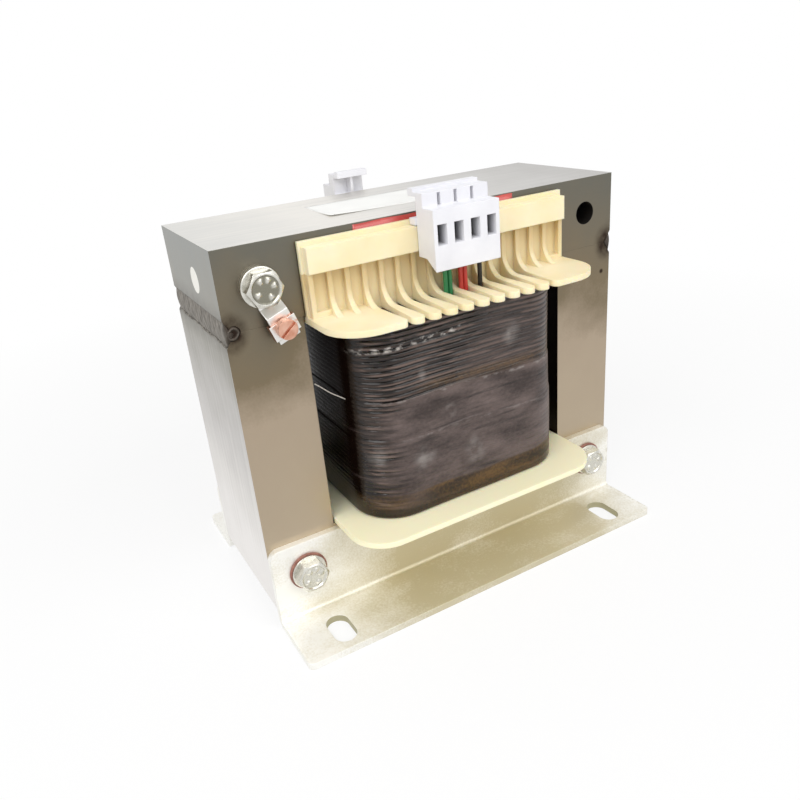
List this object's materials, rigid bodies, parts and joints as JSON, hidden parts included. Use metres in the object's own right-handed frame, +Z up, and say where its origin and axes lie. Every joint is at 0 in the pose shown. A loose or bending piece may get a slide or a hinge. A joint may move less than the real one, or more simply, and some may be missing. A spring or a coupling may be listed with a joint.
{
  "type": "power transformer",
  "caption": "Open-frame power transformer: welded plate core, varnished winding on a finned former, clip-on terminal blocks, slotted angle feet.",
  "frame": {"origin": "under the middle of the feet, on the floor", "axes": "+X along the core's width to the right, -Y to the four-pole side, +Z up"},
  "size_m": [0.15, 0.108, 0.1395],
  "materials": {
    "core_steel": "bare rolled steel plates",
    "weld_steel": "welded, heat tinted",
    "former_plastic": "moulded, satin",
    "winding_varnish": "varnish dipped",
    "zinc_plate": "zinc plated sheet",
    "fastener_zinc": "zinc plated",
    "tab_zinc": "bright plated",
    "clamp_brass": "coppery plating",
    "block_plastic": "moulded, satin",
    "clamp_plate_steel": "plated",
    "lead_green": "insulated wire",
    "lead_red": "insulated wire",
    "lead_black": "insulated wire"
  },
  "bodies": {
    "root": {"bolt_earth": "fastener_zinc", "bolt_lower_left": "fastener_zinc", "bolt_lower_right": "fastener_zinc", "bolt_washers": "fastener_zinc", "clamp_plates_front": "clamp_plate_steel", "clamp_plates_rear": "clamp_plate_steel", "coil_former": "former_plastic", "core_e_stack": "core_steel", "core_i_yoke": "core_steel", "earth_clamp": "clamp_brass", "earth_screw": "clamp_brass", "earth_tab": "tab_zinc", "foot_bracket_front": "zinc_plate", "foot_bracket_rear": "zinc_plate", "lead_black": "lead_black", "leads_green": "lead_green", "leads_rear": "lead_black", "leads_red": "lead_red", "nut_earth": "fastener_zinc", "nut_lower_left": "fastener_zinc", "nut_lower_right": "fastener_zinc", "terminal_block_front": "block_plastic", "terminal_block_rear": "block_plastic", "weld_bead_left": "weld_steel", "weld_bead_right": "weld_steel", "winding": "winding_varnish"}
  },
  "joints": []
}
